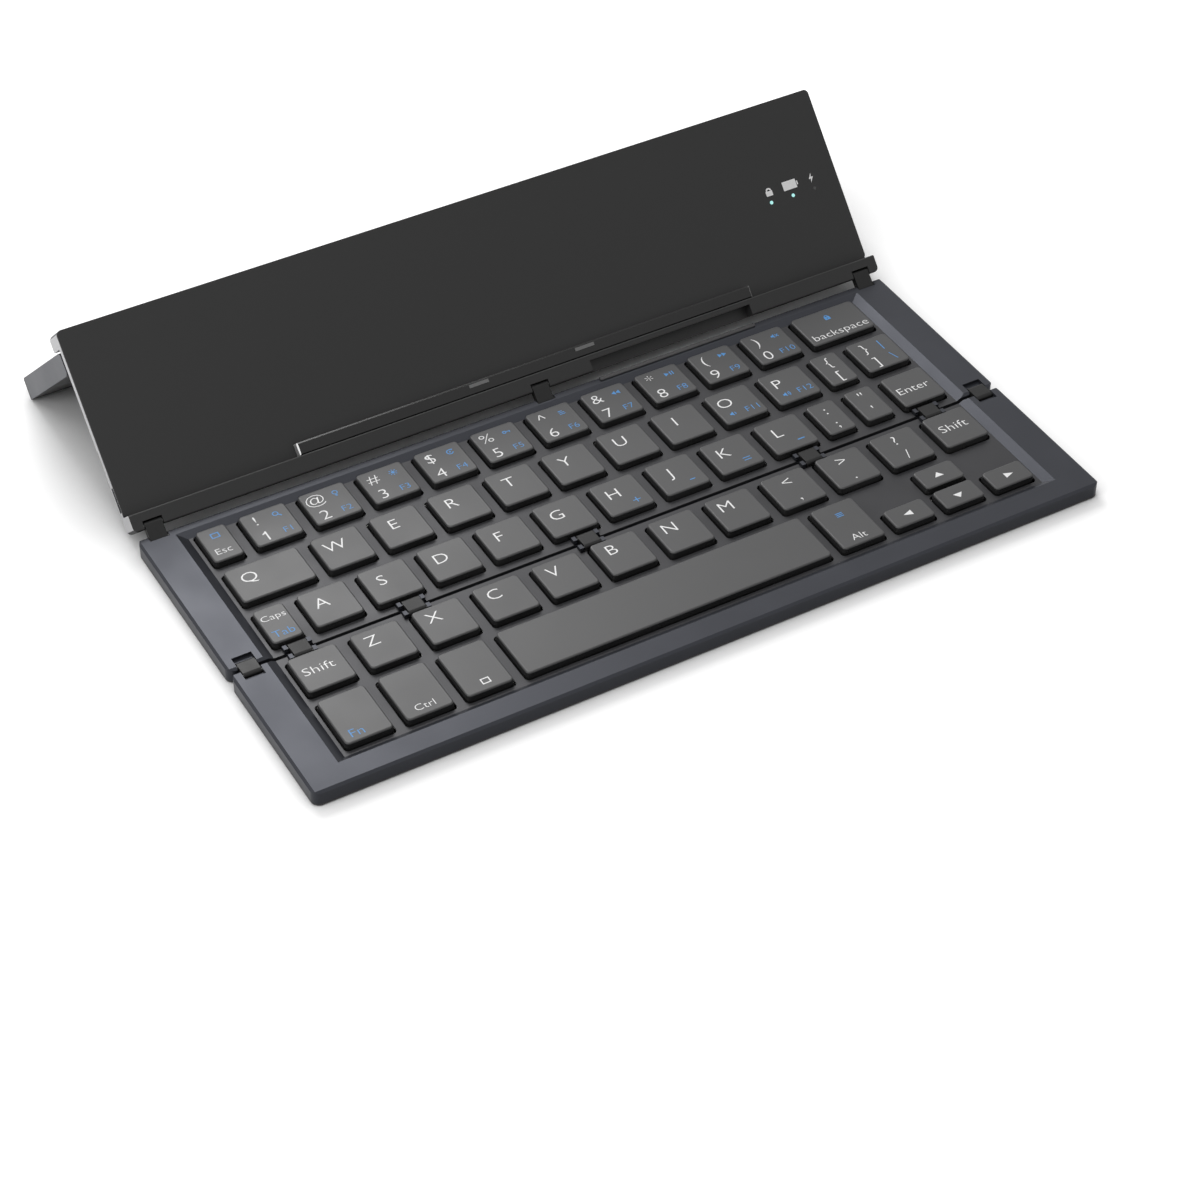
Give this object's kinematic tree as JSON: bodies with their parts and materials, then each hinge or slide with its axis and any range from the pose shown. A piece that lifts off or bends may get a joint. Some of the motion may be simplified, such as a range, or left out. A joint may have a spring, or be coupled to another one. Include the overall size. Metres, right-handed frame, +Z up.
{
  "type": "folding keyboard",
  "caption": "Slim folding keyboard: two hinged key sections and a leaning rear section that holds a phone upright, propped by a fold-out kickstand.",
  "frame": {"origin": "middle of the footprint of the opened keyboard, on the table", "axes": "+X to the right along the rows of keys, +Y away from the user, +Z up"},
  "size_m": [0.25, 0.1984, 0.0483],
  "materials": {
    "deck_metal": "fine satin, dark grey",
    "grid_metal": "satin, dark grey",
    "cover_plastic": "matt, black grey",
    "kickstand_metal": "fine satin, blue grey",
    "key_plastic": "satin top, glossy sides",
    "foot_rubber": "matt",
    "hinge_link_black": "semi-gloss black",
    "pin_steel": "ground",
    "screw_steel": "blackened",
    "dome_steel": "bright",
    "membrane_film": "clear film with silver tracks",
    "support_metal": "plated sheet",
    "cable_cover_metal": "satin grey",
    "rail_black": "gloss black",
    "board_green": "solder mask",
    "battery_foil": "foil pouch",
    "port_steel": "plated",
    "light_clear": "clear light guide"
  },
  "bodies": {
    "middle_section": {"mid_frame": "deck_metal", "mid_key_grid": "grid_metal", "mid_dome_sheet": "dome_steel", "mid_membrane": "membrane_film", "mid_support_plate": "support_metal", "mid_bottom_cover": "cover_plastic", "mid_feet": "foot_rubber", "mid_screws": "screw_steel", "cable_cover": "cable_cover_metal", "front_hinge_pins_mid": "pin_steel", "rear_hinge_pins_mid": "pin_steel"},
    "front_links": {"front_hinge_links": "hinge_link_black"},
    "front_section": {"front_frame": "deck_metal", "front_key_grid": "grid_metal", "front_dome_sheet": "dome_steel", "front_membrane": "membrane_film", "front_support_plate": "support_metal", "front_bottom_cover": "cover_plastic", "front_feet": "foot_rubber", "front_screws": "screw_steel", "front_hinge_pins_front": "pin_steel"},
    "rear_links": {"rear_hinge_links": "hinge_link_black"},
    "rear_section": {"rear_shell": "deck_metal", "rear_face": "cover_plastic", "battery": "battery_foil", "circuit_board": "board_green", "light_pipes": "light_clear", "charging_port": "port_steel", "phone_rest_rail": "rail_black", "kickstand_brackets": "hinge_link_black", "bracket_screws": "screw_steel", "rear_hinge_pins_rear": "pin_steel"},
    "kickstand": {"kickstand_shell": "kickstand_metal", "kickstand_cover": "cover_plastic", "kickstand_pins": "pin_steel", "kickstand_foot": "foot_rubber"},
    "esc_key": {"esc_key": "key_plastic"},
    "number_keys": {"number_keys_left": "key_plastic", "number_keys_right": "key_plastic"},
    "backspace_key": {"backspace_key": "key_plastic"},
    "top_letter_keys": {"letter_keys_q_to_t": "key_plastic", "letter_keys_y_to_p": "key_plastic"},
    "punctuation_keys": {"punctuation_keys": "key_plastic"},
    "caps_key": {"caps_key": "key_plastic"},
    "home_letter_keys": {"letter_keys_a_to_g": "key_plastic", "letter_keys_h_to_l": "key_plastic"},
    "enter_key": {"enter_key": "key_plastic"},
    "left_shift_key": {"left_shift_key": "key_plastic"},
    "bottom_letter_keys": {"letter_keys_z_to_b": "key_plastic", "letter_keys_n_to_slash": "key_plastic"},
    "right_shift_key": {"right_shift_key": "key_plastic"},
    "fn_key": {"fn_key": "key_plastic"},
    "ctrl_key": {"ctrl_key": "key_plastic"},
    "command_key": {"command_key": "key_plastic"},
    "space_bar": {"space_bar": "key_plastic"},
    "alt_key": {"alt_key": "key_plastic"},
    "left_arrow_key": {"left_arrow_key": "key_plastic"},
    "up_arrow_key": {"up_arrow_key": "key_plastic"},
    "down_arrow_key": {"down_arrow_key": "key_plastic"},
    "right_arrow_key": {"right_arrow_key": "key_plastic"}
  },
  "joints": [
    {"name": "front_link_turn", "type": "hinge", "parent": "middle_section", "child": "front_links", "pos_m": [0, -0.04543, 0.00415], "axis": [-1, 0, 0], "range_deg": [0, 90]},
    {"name": "front_fold", "type": "hinge", "parent": "front_links", "child": "front_section", "pos_m": [0, -0.04923, 0.00415], "axis": [-1, 0, 0], "range_deg": [0, 90]},
    {"name": "rear_link_turn", "type": "hinge", "parent": "middle_section", "child": "rear_links", "pos_m": [0, 0.01347, 0.00415], "axis": [1, 0, 0], "range_deg": [0, 47]},
    {"name": "rear_fold", "type": "hinge", "parent": "rear_links", "child": "rear_section", "pos_m": [0, 0.01684, 0.00729], "axis": [1, 0, 0], "range_deg": [0, 86]},
    {"name": "kickstand_fold", "type": "hinge", "parent": "rear_section", "child": "kickstand", "pos_m": [0, 0.05906, 0.0371], "axis": [-1, 0, 0], "range_deg": [0, 90.57]},
    {"name": "esc_key_press", "type": "slide", "parent": "middle_section", "child": "esc_key", "axis": [0, 0, -1], "range_m": [0, 0.001], "stiffness_N_per_m": 600, "springref_m": -0.0005},
    {"name": "number_keys_press", "type": "slide", "parent": "middle_section", "child": "number_keys", "axis": [0, 0, -1], "range_m": [0, 0.001], "stiffness_N_per_m": 600, "springref_m": -0.0005},
    {"name": "backspace_key_press", "type": "slide", "parent": "middle_section", "child": "backspace_key", "axis": [0, 0, -1], "range_m": [0, 0.001], "stiffness_N_per_m": 600, "springref_m": -0.0005},
    {"name": "top_letter_keys_press", "type": "slide", "parent": "middle_section", "child": "top_letter_keys", "axis": [0, 0, -1], "range_m": [0, 0.001], "stiffness_N_per_m": 600, "springref_m": -0.0005},
    {"name": "punctuation_keys_press", "type": "slide", "parent": "middle_section", "child": "punctuation_keys", "axis": [0, 0, -1], "range_m": [0, 0.001], "stiffness_N_per_m": 600, "springref_m": -0.0005},
    {"name": "caps_key_press", "type": "slide", "parent": "middle_section", "child": "caps_key", "axis": [0, 0, -1], "range_m": [0, 0.001], "stiffness_N_per_m": 600, "springref_m": -0.0005},
    {"name": "home_letter_keys_press", "type": "slide", "parent": "middle_section", "child": "home_letter_keys", "axis": [0, 0, -1], "range_m": [0, 0.001], "stiffness_N_per_m": 600, "springref_m": -0.0005},
    {"name": "enter_key_press", "type": "slide", "parent": "middle_section", "child": "enter_key", "axis": [0, 0, -1], "range_m": [0, 0.001], "stiffness_N_per_m": 600, "springref_m": -0.0005},
    {"name": "left_shift_key_press", "type": "slide", "parent": "front_section", "child": "left_shift_key", "axis": [0, 0, -1], "range_m": [0, 0.001], "stiffness_N_per_m": 600, "springref_m": -0.0005},
    {"name": "bottom_letter_keys_press", "type": "slide", "parent": "front_section", "child": "bottom_letter_keys", "axis": [0, 0, -1], "range_m": [0, 0.001], "stiffness_N_per_m": 600, "springref_m": -0.0005},
    {"name": "right_shift_key_press", "type": "slide", "parent": "front_section", "child": "right_shift_key", "axis": [0, 0, -1], "range_m": [0, 0.001], "stiffness_N_per_m": 600, "springref_m": -0.0005},
    {"name": "fn_key_press", "type": "slide", "parent": "front_section", "child": "fn_key", "axis": [0, 0, -1], "range_m": [0, 0.001], "stiffness_N_per_m": 600, "springref_m": -0.0005},
    {"name": "ctrl_key_press", "type": "slide", "parent": "front_section", "child": "ctrl_key", "axis": [0, 0, -1], "range_m": [0, 0.001], "stiffness_N_per_m": 600, "springref_m": -0.0005},
    {"name": "command_key_press", "type": "slide", "parent": "front_section", "child": "command_key", "axis": [0, 0, -1], "range_m": [0, 0.001], "stiffness_N_per_m": 600, "springref_m": -0.0005},
    {"name": "space_bar_press", "type": "slide", "parent": "front_section", "child": "space_bar", "axis": [0, 0, -1], "range_m": [0, 0.001], "stiffness_N_per_m": 600, "springref_m": -0.0005},
    {"name": "alt_key_press", "type": "slide", "parent": "front_section", "child": "alt_key", "axis": [0, 0, -1], "range_m": [0, 0.001], "stiffness_N_per_m": 600, "springref_m": -0.0005},
    {"name": "left_arrow_key_press", "type": "slide", "parent": "front_section", "child": "left_arrow_key", "axis": [0, 0, -1], "range_m": [0, 0.001], "stiffness_N_per_m": 600, "springref_m": -0.0005},
    {"name": "up_arrow_key_press", "type": "slide", "parent": "front_section", "child": "up_arrow_key", "axis": [0, 0, -1], "range_m": [0, 0.001], "stiffness_N_per_m": 600, "springref_m": -0.0005},
    {"name": "down_arrow_key_press", "type": "slide", "parent": "front_section", "child": "down_arrow_key", "axis": [0, 0, -1], "range_m": [0, 0.001], "stiffness_N_per_m": 600, "springref_m": -0.0005},
    {"name": "right_arrow_key_press", "type": "slide", "parent": "front_section", "child": "right_arrow_key", "axis": [0, 0, -1], "range_m": [0, 0.001], "stiffness_N_per_m": 600, "springref_m": -0.0005}
  ],
  "couplings": [
    {"joint": "front_link_turn", "follows": "front_fold", "ratio": 1},
    {"joint": "rear_link_turn", "follows": "rear_fold", "ratio": 0.54651}
  ]
}
